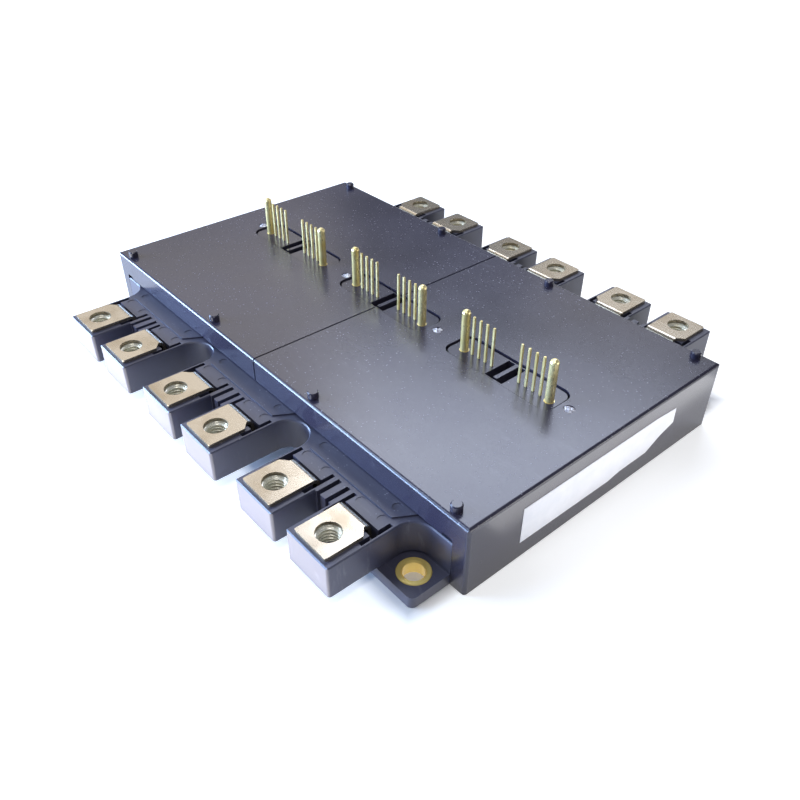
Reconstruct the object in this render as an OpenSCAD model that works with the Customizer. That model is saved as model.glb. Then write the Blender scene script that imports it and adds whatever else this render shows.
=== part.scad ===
// Six-in-one intelligent IGBT power module, 172 mm package.
// X runs along the two rows of main terminals, Y across the module, +Z up.
// The origin is at the middle of the base plate's underside.

/* [Case] */
// Length over the two end walls of the covers
case_l = 172; // [168:1:190]
// Width of the covers, without the terminal blocks
case_w = 98.5; // [96:0.5:104]
// Height of the lid above the mounting surface
case_h = 21.5; // [21:0.5:26]
// Gap between the heat sink and the underside of the mouldings
foot_gap = 0.2; // [0.1:0.1:0.4]
// Thickness of the cover's side and end walls
cover_wall = 1.9; // [1.6:0.1:2.2]
// Thickness of the cover's top
lid_t = 2; // [1.6:0.1:2.4]
// Radius on the outer edges of the covers
cover_r = 0.9; // [0.5:0.1:1.2]
// Width of the open seam between the two covers
seam_gap = 0.5; // [0.3:0.1:0.8]
// Diameter of the small studs on the lid
stud_d = 3; // [2.4:0.1:3.2]
// Height of the studs
stud_h = 1.9; // [1.5:0.1:2.2]
// Width of the full-height strip at each corner of a cover
strip_w = 4.7; // [4.2:0.1:6]
// Clearance between a cover and the frame inside it
cover_fit = 0.1; // [0.05:0.05:0.2]
// Gap between the terminal ledge's panels and the cover above them
cover_lift = 0.3; // [0.2:0.1:0.5]

/* [Terminal rows] */
// Distance between the two rows of screw holes
row_spacing = 137; // [136:0.5:139]
// Overall width over the terminal blocks
span_w = 150; // [149:0.5:154]
// Distance between neighbouring terminal pairs
pair_spacing = 50; // [49:0.5:51]
// Distance between the two screw holes of a pair
pair_pitch = 22; // [21.5:0.25:23]
// Height of the terminal ledge and blocks
ledge_h = 13.5; // [13:0.25:14.5]
// Height of the underside of the overhanging blocks
block_under = 4; // [3.8:0.1:4.2]
// Width of one terminal block
block_w = 16; // [15.6:0.1:16.4]
// Radius on the upright outer corners of the blocks
block_r = 0.8; // [0.4:0.1:1.2]
// Bevel along the upper edges of the ledge and blocks
edge_bevel = 0.3; // [0.2:0.05:0.4]
// Ledge left between a rounded notch and the face of the cover
notch_web = 0.4; // [0.3:0.1:0.8]
// Depth of the ledge from the cover's face to the gap of a pair
ledge_d = 6.3; // [5.8:0.1:6.8]

/* [Terminals] */
// Width of a terminal plate
pad_w = 12; // [11:0.25:12]
// Thickness of a terminal plate
pad_t = 1; // [0.8:0.1:1.2]
// Distance from the screw hole to the plate's outer edge
pad_end = 5.5; // [5.2:0.1:5.8]
// Screw hole in the plate
pad_hole_d = 6.6; // [6.3:0.1:7]
// Radius on the outer corners of the plate
pad_r = 0.6; // [0.3:0.1:1]
// Outer radius of the bends
bend_r = 2.2; // [1.8:0.1:2.4]
// Distance from the screw hole to the inner face of the leg
leg_run = 9.2; // [9:0.1:9.6]
// Width cut away at the plate's inner corner
corner_cut_x = 2.1; // [1.5:0.1:2.6]
// Length of the slanted cut at the plate's inner corner
corner_cut_y = 1.8; // [1.2:0.1:2.4]
// Length of each terminal's foot that is soldered to its substrate
solder_lap = 3; // [2:0.5:4]
// Clearance around the leg in its slot
leg_fit = 0.25; // [0.15:0.05:0.4]

/* [Nuts] */
// Width across the flats of the M6 nut
nut_af = 10; // [9.5:0.25:10]
// Height of the nut
nut_h = 5; // [4.5:0.25:5.2]
// Radius of the nut's bore, at the crests of its thread
nut_bore_r = 2.5; // [2.3:0.05:2.6]
// Clearance around the nut in its pocket
nut_fit = 0.15; // [0.1:0.05:0.25]
// Gap between the nut and the plate above it
nut_drop = 0.3; // [0.2:0.1:0.5]
// Depth of the countersink at both ends of a nut's thread
nut_csk = 0.5; // [0.3:0.1:0.7]

/* [Mounting feet] */
// Distance between the mounting holes along X
mount_x = 150; // [148:0.5:150]
// Distance between the mounting holes along Y
mount_y = 110; // [109:0.5:110]
// Thickness of a mounting foot
foot_t = 3.5; // [3:0.1:3.7]
// Distance from the mounting hole to the foot's free sides
foot_edge = 6.1; // [5.8:0.1:6.2]
// Outer diameter of the brass bush
bush_d = 8.6; // [8:0.1:9]
// Bore of the bush
bush_bore = 5.5; // [5.3:0.1:6]
// Height of the bush above the foot
bush_proud = 0.2; // [0.1:0.1:0.4]
// Clearance around the bush
bush_fit = 0.05; // [0.02:0.01:0.1]

/* [Base and substrates] */
// Thickness of the copper base plate
base_t = 4; // [3.4:0.1:4]
// Wall of the frame around the base plate
base_rim = 3.1; // [2.8:0.1:3.4]
// Width of the shelf that holds the base plate down
base_shelf = 2.4; // [2:0.1:3]
// Clearance between the ceramic substrates and the ends of the well
tile_end = 6; // [4:0.5:8]
// Gap between neighbouring substrates of a row
tile_space = 5; // [3:0.5:7]
// Clearance between the substrates and the long sides of the well
tile_side = 2.75; // [2:0.25:4]
// Thickness of the ceramic
tile_t = 0.63; // [0.4:0.01:1]
// Thickness of the copper on each side of the ceramic
foil_t = 0.3; // [0.2:0.05:0.4]
// Gap between the two rows of substrates
tile_gap = 2; // [1:0.5:4]
// Bare ceramic margin around the copper
foil_margin = 1; // [0.6:0.1:1.5]
// Thickness of a chip with its solder
chip_t = 0.35; // [0.2:0.05:0.5]
// Side of an IGBT chip
igbt_side = 12; // [10:0.5:13]
// Length of a diode chip
diode_l = 10; // [8:0.5:11]
// Width of a diode chip
diode_w = 7; // [6:0.5:8]
// Copper left between a diode chip and the edge of its substrate's copper
diode_edge = 1.9; // [1:0.1:2.5]
// Gap between an IGBT chip and its diode chip
chip_gap = 1.6; // [1:0.1:2]
// Diameter of a bond wire
wire_d = 0.4; // [0.3:0.05:0.5]
// Height of the silicone gel above the base plate
gel_h = 6.2; // [5.5:0.1:7]

/* [Control board] */
// Height of the shelf that carries the control board
board_shelf = 13; // [12.5:0.1:13.4]
// Thickness of the control board
board_t = 1.6; // [1:0.1:2]
// Clearance around the control board
board_fit = 0.3; // [0.2:0.1:0.5]
// Length of a gate driver circuit
driver_l = 10; // [8:0.5:12]
// Width of a gate driver circuit
driver_w = 6; // [4:0.5:8]
// Height of a gate driver circuit
driver_h = 2; // [1.5:0.1:2.5]

/* [Connectors] */
// Depth of the connector face below the lid
insert_drop = 0.5; // [0.3:0.1:0.8]
// Gap between a connector and the edge of its opening
insert_gap = 0.6; // [0.4:0.1:0.9]
// Half of a connector's length
insert_half = 19.1; // [18:0.1:20]
// Width of a connector
insert_w = 10.6; // [9.5:0.1:12]
// Sideways offset of a connector from its pins
insert_shift = 0.7; // [0:0.1:1]
// Offset of a connector along the row from its pins
insert_shift_x = -0.5; // [-1:0.1:0]
// Corner radius of a connector
insert_r = 2.8; // [2:0.1:3.2]
// Pitch of the thin pins
pin_pitch = 2.54; // [2.5:0.01:2.6]
// Side of a thin pin
pin_side = 0.64; // [0.5:0.02:0.8]
// Height of the thin pins above the lid
pin_rise = 11.7; // [10:0.1:13]
// Distance from the connector's centre to a thick guide pin
guide_x = 15.9; // [15.5:0.1:16.5]
// Diameter of a guide pin
guide_d = 2.5; // [2:0.1:2.8]
// Diameter of the guide pins' roots in the connector
guide_root_d = 2.9; // [2.6:0.1:3.2]
// Height of the guide pins above the lid
guide_rise = 12.7; // [11:0.1:14]
// Clearance around a pin in its connector
pin_fit = 0.04; // [0.02:0.01:0.06]
// Half of the length of the connector's central pocket
pocket_half = 3.2; // [2.8:0.1:3.6]
// Thickness of the rib in that pocket
pocket_rib = 1.3; // [1:0.1:1.6]
// Depth of that pocket
pocket_d = 3.5; // [2.5:0.1:4.5]
// Wall left around that pocket
pocket_wall = 0.4; // [0.3:0.1:0.8]

/* [Label] */
// Length of the white sticker on the end wall
label_l = 61.5; // [55:0.5:70]
// Height of the white sticker
label_h = 11.6; // [10:0.1:12]
// Thickness of the sticker
label_t = 0.1; // [0.05:0.05:0.2]
// Height of the sticker's middle
label_z = 10.8; // [9:0.1:12]

/* [Hidden] */
ROWS = [-1, 1];
PAIRS = [-1, 0, 1];

// A cut runs this far past the face it opens
over = 1;
// Facets of a full circle
$fn = 96;

// Cover
cover_top_under = case_h - lid_t;
inner_l = case_l - 2 * cover_wall;
inner_w = case_w - 2 * cover_wall;
window_half = case_l / 2 - strip_w;
panel_h = 0.4;
panel_top = ledge_h + panel_h;
window_top = panel_top + cover_lift;
window_rise = 0.8;
window_rise_l = 3.3;
stud_shift = 0.3;
stud_end = 6.6;
stud_side = 2.6;
stud_x = [pair_spacing / 2 + stud_shift, case_l / 2 - stud_end];
stud_y = case_w / 2 - stud_side;
stud_edge = 0.3;
gate_d = 3.2;
gate_depth = 0.25;
gate_stub_h = 0.7 * gate_depth;
gate_web = 2.3;
gate_off = insert_half + insert_gap + gate_web;

// Frame
frame_l = inner_l - 2 * cover_fit;
frame_w = inner_w - 2 * cover_fit;
flank_l = 2 * window_half - 2 * cover_fit;
row_y = row_spacing / 2;
block_out = span_w / 2;
pair_half = pair_pitch / 2 + block_w / 2;
notch_r = pair_spacing / 2 - pair_half;
notch_y = case_w / 2 + notch_web + notch_r;
pair_gap = pair_pitch - block_w;
ledge_half = pair_spacing + pair_half;
corner_r = mount_y / 2 - case_w / 2;
gap_end = case_w / 2 + ledge_d;
slot_gap = 0.1;
slot_w = 1.2;
slot_x = [pad_w / 2 + slot_gap, pad_w / 2 + slot_gap + slot_w];
slot_end = gap_end + slot_gap;
slot_l = 9.3;
slot_web = 2.4;
slot_floor = block_under + slot_web;
screw_floor = 1;
tongue_w = 2;
tongue_l = 6.7;
wall_step = 0.6;
panel_d = 5.1;
panel_out = 0.3;
panel_in = 2.8;
panel_half = [pair_half + panel_out, pair_half - panel_in];
foot_r = 1.6;
foot_root = 3;
mark_d = 2.7;
mark_depth = 0.12;
mark_x = 4;
mark_in = 0.5;
panel_mark_x = 14.5;
panel_mark_y = 1.8;
base_l = frame_l - 2 * base_rim;
base_w = frame_w - 2 * base_rim;
base_fit = 0.15;
base_r = 3;
well_l = base_l - 2 * base_shelf;
well_w = base_w - 2 * base_shelf;
board_ledge = 2.5;
board_l = frame_l - 2 * board_ledge;
board_w = frame_w - 2 * board_ledge;

// Substrates' outline, three in each row
tile_l = (well_l - 2 * tile_end - 2 * tile_space) / 3;
tile_w = (well_w - tile_gap) / 2 - tile_side;
tile_step = tile_l + tile_space;

// Terminal strip
nut_floor = ledge_h - nut_drop - nut_h;
nut_corner_d = nut_af / cos(30);
nut_bevel = 0.6;
bar_z = base_t + 2 * foil_t + tile_t;
leg_in = row_y - leg_run;
bar_end = tile_w + tile_gap / 2 - foil_margin - solder_lap;
trench_fit = 0.1;
trench_l = pad_w + 2 * trench_fit;
leg_side = pad_w / 2 - corner_cut_x;

// Chips, wires and posts on a substrate
foil_top = bar_z;
chip_z = foil_top + chip_t;
wire_r = 3.1;
wire_step = 2;
post_d = 0.8;
post_x = 3;
post_gap = 3;
post_y = -tile_w / 2 + foil_margin + solder_lap + post_gap;
pocket_clear = 0.1;
wire_pocket = 8;
diode_y = tile_w / 2 - foil_margin - diode_edge - diode_w / 2;
igbt_y = diode_y - diode_w / 2 - chip_gap - igbt_side / 2;
driver_spread = 1.2;
label_y = -0.4;
// Torn lower edge of the label: part of its half length, height above the edge
label_tear = [[-1, 0.4], [0.1, 0], [0.24, 0.8], [0.62, 0.9], [0.81, 3.9], [0.99, 5.6]];
label_wear = [[0.98, 1], [0.7, 0.3], [-1, 0]];
bush_edge = 0.4;
pocket_rib_gap = 3 * pocket_wall;

// Connector
insert_top = case_h - insert_drop;
board_top = board_shelf + board_t;
pin_first = 2 * pin_pitch;
pin_tip = 0.8;
pin_stub = 1.2;
pin_low = board_shelf - pin_stub;
guide_seat = 1.2;
guide_z = board_top + guide_seat;
guide_tip = 1;

function tile_x(i) = tile_step * ((i - 1) % 3 - 1);
function tile_y(i) = (i <= 3 ? -1 : 1) * (tile_w + tile_gap) / 2;
function row_of(i) = i <= 6 ? -1 : 1;
function pair_of(i) = floor(((i - 1) % 6) / 2) - 1;
function side_of(i) = (i - 1) % 2 == 0 ? -1 : 1;
function terminal_x(i) = pair_of(i) * pair_spacing + side_of(i) * pair_pitch / 2;

// ---- shared shapes ----

// A rectangle with round corners, from straight and round pieces
module rounded_rect(l, w, r) {
    square([l - 2 * r, w], center = true);
    square([l, w - 2 * r], center = true);
    for (x = [-1, 1], y = [-1, 1])
        translate([x * (l / 2 - r), y * (w / 2 - r)]) circle(r);
}

// A rectangle from z = 0 up whose two upper corners are round
module arched_rect(l, h, r) {
    translate([-l / 2, 0]) square([l, h - r]);
    translate([-l / 2 + r, 0]) square([l - 2 * r, h]);
    for (x = [-1, 1]) translate([x * (l / 2 - r), h - r]) circle(r);
}

// What rounding takes off a corner at the origin of a shape in the first quadrant
module corner_waste(r) {
    difference() {
        translate([-over, -over]) square(r + over);
        translate([r, r]) circle(r);
    }
}

// What a bevel takes off an edge along Z, at the origin, of a shape in the first quadrant
module bevel_waste(c) {
    polygon([[-over, -over], [c + over, -over], [-over, c + over]]);
}

// A block given by its lowest corner and its highest corner
module box(low, high) {
    translate(low) cube(high - low);
}

// Copies a shape of the near row to both rows
module both_rows() {
    for (row = ROWS) scale([1, -row, 1]) children();
}

// Places a shape of a right-hand terminal at terminal i
module at_terminal(i) {
    translate([terminal_x(i), 0, 0])
        mirror([side_of(i) < 0 ? 1 : 0, 0, 0])
            mirror([0, row_of(i) > 0 ? 1 : 0, 0]) children();
}

// ---- base plate ----

module base_plate() {
    color("peru") linear_extrude(base_t)
        rounded_rect(base_l - 2 * base_fit, base_w - 2 * base_fit, base_r);
}

// ---- case frame ----

// Outline of the ledge and its blocks on the near side
module ledge_outline() {
    difference() {
        translate([-ledge_half - corner_r, -block_out])
            square([2 * (ledge_half + corner_r), block_out - frame_w / 2 + over]);
        // rounded notches between the pairs
        for (x = [-0.5, 0.5]) translate([x * pair_spacing, 0])
            notch_outline(notch_r, notch_y);
        // rounded notches above the mounting feet
        for (x = [-1, 1]) translate([x * (ledge_half + corner_r), 0])
            notch_outline(corner_r, mount_y / 2);
        for (p = PAIRS) translate([p * pair_spacing, 0]) pair_gap_outline();
        for (p = PAIRS, s = [-1, 1]) translate([p * pair_spacing, -block_out]) {
            translate([s * pair_gap / 2, 0]) scale([s, 1]) corner_waste(block_r);
            translate([s * pair_half, 0]) scale([-s, 1]) corner_waste(block_r);
        }
    }
}

// Straight notch with a round inner end, centred on x = 0
module notch_outline(half, y) {
    translate([0, -y]) circle(half);
    translate([-half, -block_out - over]) square([2 * half, block_out + over - y]);
}

// Gap between the two blocks of a pair, with the rib that stands in it
module pair_gap_outline() {
    difference() {
        translate([-pair_gap / 2, -block_out - over])
            square([pair_gap, block_out + over - gap_end]);
        translate([-tongue_w / 2, -gap_end - tongue_l])
            square([tongue_w, tongue_l + over]);
        for (s = [-1, 1]) translate([s * pair_gap / 2 - wall_step, -gap_end - tongue_l])
            square([2 * wall_step, tongue_l + over]);
    }
}

// Raised panel beside the cover, one for each pair
module ledge_panel() {
    y0 = -case_w / 2 + over;
    y1 = -case_w / 2 - panel_d;
    linear_extrude(panel_h + over) polygon([
        [-panel_half[0], y0], [-panel_half[0], -case_w / 2], [-panel_half[1], y1],
        [panel_half[1], y1], [panel_half[0], -case_w / 2], [panel_half[0], y0]]);
}

// Foot with a round outer corner, at the +X end of the near side
module foot() {
    x = [mount_x / 2 - foot_edge - foot_root, mount_x / 2 + foot_edge];
    y = [-mount_y / 2 - foot_edge, -case_w / 2 + over];
    translate([0, 0, foot_gap]) linear_extrude(foot_t - foot_gap) difference() {
        translate([x[0], y[0]]) square([x[1] - x[0], y[1] - y[0]]);
        translate([x[1], y[0]]) scale([-1, 1]) corner_waste(foot_r);
    }
    // root that joins it to the block above
    box([x[0], y[0], foot_gap], [ledge_half, y[1], block_under + over]);
}

// Bevels along the upper edges of the ledge on the near side
module edge_bevels() {
    // outer faces of the blocks, and the case's face beside the corner notches
    top_bevel_along_x(-ledge_half - over, ledge_half + over, block_out);
    for (s = [-1, 1]) scale([s, 1, 1])
        top_bevel_along_x(ledge_half + corner_r, flank_l / 2 + over, case_w / 2);
    for (x = [-0.5, 0.5]) translate([x * pair_spacing, 0, 0])
        notch_bevel(notch_r, notch_y);
    for (s = [-1, 1]) translate([s * (ledge_half + corner_r), 0, 0])
        notch_bevel(corner_r, mount_y / 2);
    for (p = PAIRS, s = [-1, 1]) translate([p * pair_spacing, 0, 0]) scale([s, 1, 1])
        translate([pair_gap / 2, -gap_end - tongue_l, ledge_h]) rotate([90, 0, 0])
            linear_extrude(block_out) scale([1, -1]) bevel_waste(edge_bevel);
}

// Bevel along X on the edge at height ledge_h and distance y from the middle
module top_bevel_along_x(x0, x1, y) {
    translate([x0, -y, ledge_h]) rotate([90, 0, 90]) linear_extrude(x1 - x0)
        scale([1, -1]) bevel_waste(edge_bevel);
}

// Bevel around a notch of the given half width
module notch_bevel(half, y) {
    z = ledge_h - edge_bevel;
    grow = edge_bevel + over;
    translate([0, -y, z]) cylinder(r1 = half, r2 = half + grow, h = grow);
    translate([0, -y, z]) rotate([90, 0, 0]) linear_extrude(block_out) polygon([
        [-half, 0], [half, 0], [half + grow, grow], [-half - grow, grow]]);
}

// Everything that is cut out of one block, drawn for a right-hand terminal
module block_cuts() {
    // hexagonal pocket, and room for the screw's end under it
    translate([0, -row_y, nut_floor])
        cylinder(d = (nut_af + 2 * nut_fit) / cos(30), h = ledge_h, $fn = 6);
    translate([0, -row_y, block_under + screw_floor])
        cylinder(d = pad_hole_d, h = nut_floor);
    // slots beside the leg
    for (s = [-1, 1])
        box([s > 0 ? slot_x[0] : -slot_x[1], -slot_end - slot_l, slot_floor],
            [s > 0 ? slot_x[1] : -slot_x[0], -slot_end, ledge_h + over]);
    // trench that the bent leg stands in
    box([-trench_l / 2, -leg_in - pad_t - leg_fit, bar_z + pad_t],
        [trench_l / 2, -leg_in + leg_fit, ledge_h + over]);
    box([-trench_l / 2, -leg_in - bend_r - trench_fit, ledge_h - bend_r],
        [trench_l / 2, -leg_in, ledge_h + over]);
    // room for the lower bend and for the bar through the wall
    box([-pad_w / 2, -leg_in - pad_t - leg_fit, bar_z],
        [leg_side, -leg_in + bend_r, bar_z + bend_r]);
    box([-pad_w / 2, -leg_in, bar_z], [leg_side, -bar_end, bar_z + pad_t]);
}

module case_frame() {
    color("#3b3a48") difference() {
        union() {
            // walls around the base plate, then the upstand inside the covers
            translate([0, 0, foot_gap]) linear_extrude(ledge_h - foot_gap)
                square([flank_l, case_w], center = true);
            translate([0, 0, foot_gap]) linear_extrude(cover_top_under - foot_gap)
                square([frame_l, frame_w], center = true);
            both_rows() {
                translate([0, 0, block_under]) linear_extrude(ledge_h - block_under)
                    ledge_outline();
                for (p = PAIRS) translate([p * pair_spacing, 0, ledge_h - over]) ledge_panel();
                for (s = [-1, 1]) scale([s, 1, 1]) foot();
            }
        }
        // base plate, chip well and control board, from below to above
        translate([0, 0, -over]) linear_extrude(base_t + over)
            rounded_rect(base_l, base_w, base_r);
        translate([0, 0, base_t - over]) linear_extrude(case_h)
            rounded_rect(well_l, well_w, base_r);
        translate([0, 0, board_shelf]) linear_extrude(case_h)
            square([board_l, board_w], center = true);
        for (x = [-1, 1], y = [-1, 1]) translate([x * mount_x / 2, y * mount_y / 2, -over])
            cylinder(d = bush_d + 2 * bush_fit, h = foot_t + 2 * over);
        for (i = [1:12]) at_terminal(i) block_cuts();
        both_rows() ejector_marks();
        both_rows() edge_bevels();
    }
}

// Round marks that the moulding tool leaves on the ledge and its panels
module ejector_marks() {
    for (i = [1:6], s = [-1, 1])
        translate([terminal_x(i) + mark_x * s, -gap_end - mark_in, ledge_h - mark_depth])
            cylinder(d = mark_d, h = over);
    for (p = PAIRS, s = [-1, 1])
        translate([p * pair_spacing + panel_mark_x * s, -case_w / 2 - panel_mark_y,
            panel_top - mark_depth]) cylinder(d = mark_d, h = over);
}

// ---- covers ----

// Outer form of both covers together, with round edges
module cover_form() {
    intersection() {
        linear_extrude(case_h) rounded_rect(case_l, case_w, cover_r);
        rotate([90, 0, 0]) linear_extrude(case_w, center = true)
            arched_rect(case_l, case_h, cover_r);
        rotate([90, 0, 90]) linear_extrude(case_l, center = true)
            arched_rect(case_w, case_h, cover_r);
        translate([0, 0, foot_gap]) linear_extrude(case_h) square(2 * case_l, center = true);
    }
}

// Opening in the side wall where the terminal ledge comes out, near side
module side_window() {
    y = -case_w / 2 - over;
    translate([0, y, 0]) rotate([90, 0, 0]) mirror([0, 0, 1])
        linear_extrude(cover_wall + 2 * over) {
            translate([-window_half, -over]) square([2 * window_half, window_top + over]);
            for (s = [-1, 1]) scale([s, 1]) polygon([
                [window_half, window_top - over], [window_half, window_top],
                [window_half - window_rise / 2, window_top + window_rise],
                [window_half - window_rise_l, window_top + window_rise],
                [window_half - window_rise_l, window_top - over]]);
        }
}

// One cover: side = -1 for the left half, +1 for the right half
module cover(side) {
    difference() {
        union() {
            difference() {
                cover_form();
                translate([0, 0, -over]) linear_extrude(cover_top_under + over)
                    square([inner_l, inner_w], center = true);
            }
            for (x = stud_x, y = [-1, 1]) translate([side * x, y * stud_y, case_h - over])
                stud();
        }
        both_rows() side_window();
        // the other half and the seam
        box([side > 0 ? -case_l : -seam_gap / 2, -case_w, -over],
            [side > 0 ? seam_gap / 2 : case_l, case_w, case_h + 2 * over]);
        for (p = PAIRS) translate([p * pair_spacing + insert_shift_x, insert_shift,
            cover_top_under - over]) linear_extrude(lid_t + 2 * over)
                rounded_rect(2 * (insert_half + insert_gap), insert_w + 2 * insert_gap,
                    insert_r + insert_gap);
        for (x = [gate_off, pair_spacing + gate_off])
            translate([side * x, insert_shift, case_h - gate_depth])
                difference() {
                    cylinder(d = gate_d, h = over);
                    cylinder(d = gate_d / 2, h = gate_stub_h);
                }
    }
}

// Small round stud on the lid, with a broken top edge
module stud() {
    cylinder(d = stud_d, h = over + stud_h - stud_edge);
    translate([0, 0, over + stud_h - stud_edge])
        cylinder(d1 = stud_d, d2 = stud_d - 2 * stud_edge, h = stud_edge);
}

module cover_left() {
    color("#48475a") cover(-1);
}

module cover_right() {
    color("#48475a") cover(1);
}

// ---- terminals and nuts ----

// Side view of the bent strip: y to the right, z up, near side
module strip_profile() {
    top = ledge_h + pad_t;
    inner_r = bend_r - pad_t;
    leg_out = -leg_in - pad_t;
    // plate
    translate([-row_y - pad_end, ledge_h])
        square([row_y + pad_end - leg_in - bend_r, pad_t]);
    // upper bend
    translate([-leg_in - bend_r, top - bend_r]) quarter_ring(bend_r, inner_r, 0);
    // leg
    translate([leg_out, bar_z + bend_r]) square([pad_t, top - bar_z - 2 * bend_r]);
    // lower bend
    translate([leg_out + bend_r, bar_z + bend_r]) quarter_ring(bend_r, inner_r, 180);
    // bar through the wall, down to the substrate
    translate([leg_out + bend_r, bar_z])
        square([-bar_end - leg_out - bend_r, pad_t]);
}

// A quarter of a ring, starting at the given angle
module quarter_ring(r, inner_r, turn) {
    rotate(turn) intersection() {
        difference() {
            circle(r);
            circle(inner_r);
        }
        square(2 * r);
    }
}

// Right-hand terminal of the near row, centred on x = 0
module terminal_strip() {
    difference() {
        rotate([90, 0, 90]) linear_extrude(pad_w, center = true) strip_profile();
        translate([0, -row_y, ledge_h - over]) cylinder(d = pad_hole_d, h = pad_t + 2 * over);
        for (s = [-1, 1]) translate([s * pad_w / 2, -row_y - pad_end, ledge_h - over])
            linear_extrude(pad_t + 2 * over) scale([-s, 1]) corner_waste(pad_r);
        // the corner is cut off on a slant, and the leg and bar are narrower
        translate([0, 0, -over]) linear_extrude(case_h) polygon([
            [leg_side, -bar_end + over],
            [leg_side, -leg_in - bend_r],
            [pad_w / 2 + over, -leg_in - bend_r - corner_cut_y
                * (corner_cut_x + over) / corner_cut_x],
            [pad_w / 2 + over, -bar_end + over]]);
    }
}

module terminal(i) {
    color("#c9bfa0") at_terminal(i) terminal_strip();
}

module nut(i) {
    color("silver") at_terminal(i) translate([0, -row_y, nut_floor]) difference() {
        intersection() {
            cylinder(d = nut_corner_d, h = nut_h, $fn = 6);
            nut_chamfer();
        }
        translate([0, 0, -over]) cylinder(r = nut_bore_r, h = nut_h + 2 * over);
        for (z = [0, nut_h]) translate([0, 0, z]) countersink(z == 0 ? 1 : -1);
    }
}

// Cone that widens the thread's mouth: up = 1 at the lower face, -1 at the upper
module countersink(up) {
    r = nut_bore_r + nut_csk + over;
    scale([1, 1, up]) translate([0, 0, -over])
        cylinder(r1 = r, r2 = nut_bore_r, h = nut_csk + over);
}

// Double cone that takes the corners off both faces of a nut
module nut_chamfer() {
    d = nut_corner_d;
    c = nut_bevel;
    cylinder(d1 = d - 2 * c, d2 = d, h = c / 2);
    translate([0, 0, c / 2]) cylinder(d = d, h = nut_h - c);
    translate([0, 0, nut_h - c / 2]) cylinder(d1 = d, d2 = d - 2 * c, h = c / 2);
}

// ---- mounting bushes ----

module mount_bush(i) {
    x = i % 2 == 1 ? -1 : 1;
    y = i <= 2 ? -1 : 1;
    c = bush_edge;
    h = foot_t + bush_proud;
    color("goldenrod") translate([x * mount_x / 2, y * mount_y / 2, 0]) difference() {
        union() {
            cylinder(d = bush_d, h = h - c / 2);
            translate([0, 0, h - c / 2]) cylinder(d1 = bush_d, d2 = bush_d - c, h = c / 2);
        }
        translate([0, 0, -over]) cylinder(d = bush_bore, h = h + 2 * over);
        translate([0, 0, h - c]) cylinder(d1 = bush_bore, d2 = bush_bore + 2 * (c + over),
            h = c + over);
    }
}

// ---- connectors and pins ----

// Positions of the eight thin pins along one connector
function pin_offsets() = [for (s = [-1, 1], k = [0:3]) s * (pin_first + k * pin_pitch)];

module connector(i) {
    color("#3f3e4c") translate([(i - 2) * pair_spacing, 0, 0]) difference() {
        translate([insert_shift_x, insert_shift, board_top])
            linear_extrude(insert_top - board_top)
                rounded_rect(2 * insert_half, insert_w, insert_r);
        translate([insert_shift_x, insert_shift, insert_top - pocket_d]) difference() {
            translate([-pocket_half, pocket_wall - insert_w / 2, 0])
                cube([2 * pocket_half, insert_w - 2 * pocket_wall, case_h]);
            // rib that stands in the pocket, clear of its near end
            translate([-pocket_rib / 2, pocket_rib_gap - insert_w / 2, -over])
                cube([pocket_rib, insert_w, pocket_d + over]);
        }
        for (x = pin_offsets())
            box([x - pin_side / 2 - pin_fit, -pin_side / 2 - pin_fit, board_shelf],
                [x + pin_side / 2 + pin_fit, pin_side / 2 + pin_fit, case_h]);
        for (s = [-1, 1]) translate([s * guide_x, 0, guide_z])
            cylinder(d = guide_root_d + 2 * pin_fit, h = case_h);
    }
}

// Thick pins with a shouldered root and a coned and rounded tip
module guide_pins(i) {
    h = case_h + guide_rise - guide_z;
    shoulder = insert_top - guide_z;
    r = guide_d / 2;
    color("gold") for (s = [-1, 1])
        translate([(i - 2) * pair_spacing + s * guide_x, 0, guide_z])
            rotate_extrude() polygon([[0, 0], [guide_root_d / 2, 0],
                [guide_root_d / 2, shoulder], [r, shoulder], [r, h - guide_tip],
                [0.85 * r, h - 0.55 * guide_tip], [0.35 * r, h - 0.05 * guide_tip], [0, h]]);
}

// Square pins, soldered through the board, with a tapered tip
module signal_pins(i) {
    top = case_h + pin_rise;
    color("#e6d38a") for (x = pin_offsets())
        translate([(i - 2) * pair_spacing + x, 0, 0]) intersection() {
            box([-pin_side / 2, -pin_side / 2, pin_low],
                [pin_side / 2, pin_side / 2, top]);
            for (turn = [0, 90]) rotate([90, 0, turn])
                linear_extrude(2 * pin_side, center = true) polygon([
                    [-pin_side / 2, pin_low], [pin_side / 2, pin_low],
                    [pin_side / 2, top - pin_tip], [pin_side / 4, top],
                    [-pin_side / 4, top], [-pin_side / 2, top - pin_tip]]);
        }
}

// ---- inside ----

// Ceramic tile with copper on both faces
module substrate(i) {
    color("ivory") translate([tile_x(i), tile_y(i), base_t]) {
        linear_extrude(foil_t) square([tile_l - 2 * foil_margin, tile_w - 2 * foil_margin],
            center = true);
        translate([0, 0, foil_t]) linear_extrude(tile_t)
            square([tile_l, tile_w], center = true);
        translate([0, 0, foil_t + tile_t]) linear_extrude(foil_t)
            square([tile_l - 2 * foil_margin, tile_w - 2 * foil_margin], center = true);
    }
}

// Places something at each of the two switches of each substrate
module at_switches() {
    for (i = [1:6], s = [-1, 1])
        translate([tile_x(i) + s * tile_l / 4, tile_y(i), foil_top])
            scale([1, tile_y(i) < 0 ? 1 : -1, 1]) children();
}

module igbt_chips() {
    color("dimgray") at_switches() translate([-igbt_side / 2, igbt_y - igbt_side / 2, 0])
        cube([igbt_side, igbt_side, chip_t]);
}

module diode_chips() {
    color("darkgray") at_switches() translate([-diode_l / 2, diode_y - diode_w / 2, 0])
        cube([diode_l, diode_w, chip_t]);
}

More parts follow.
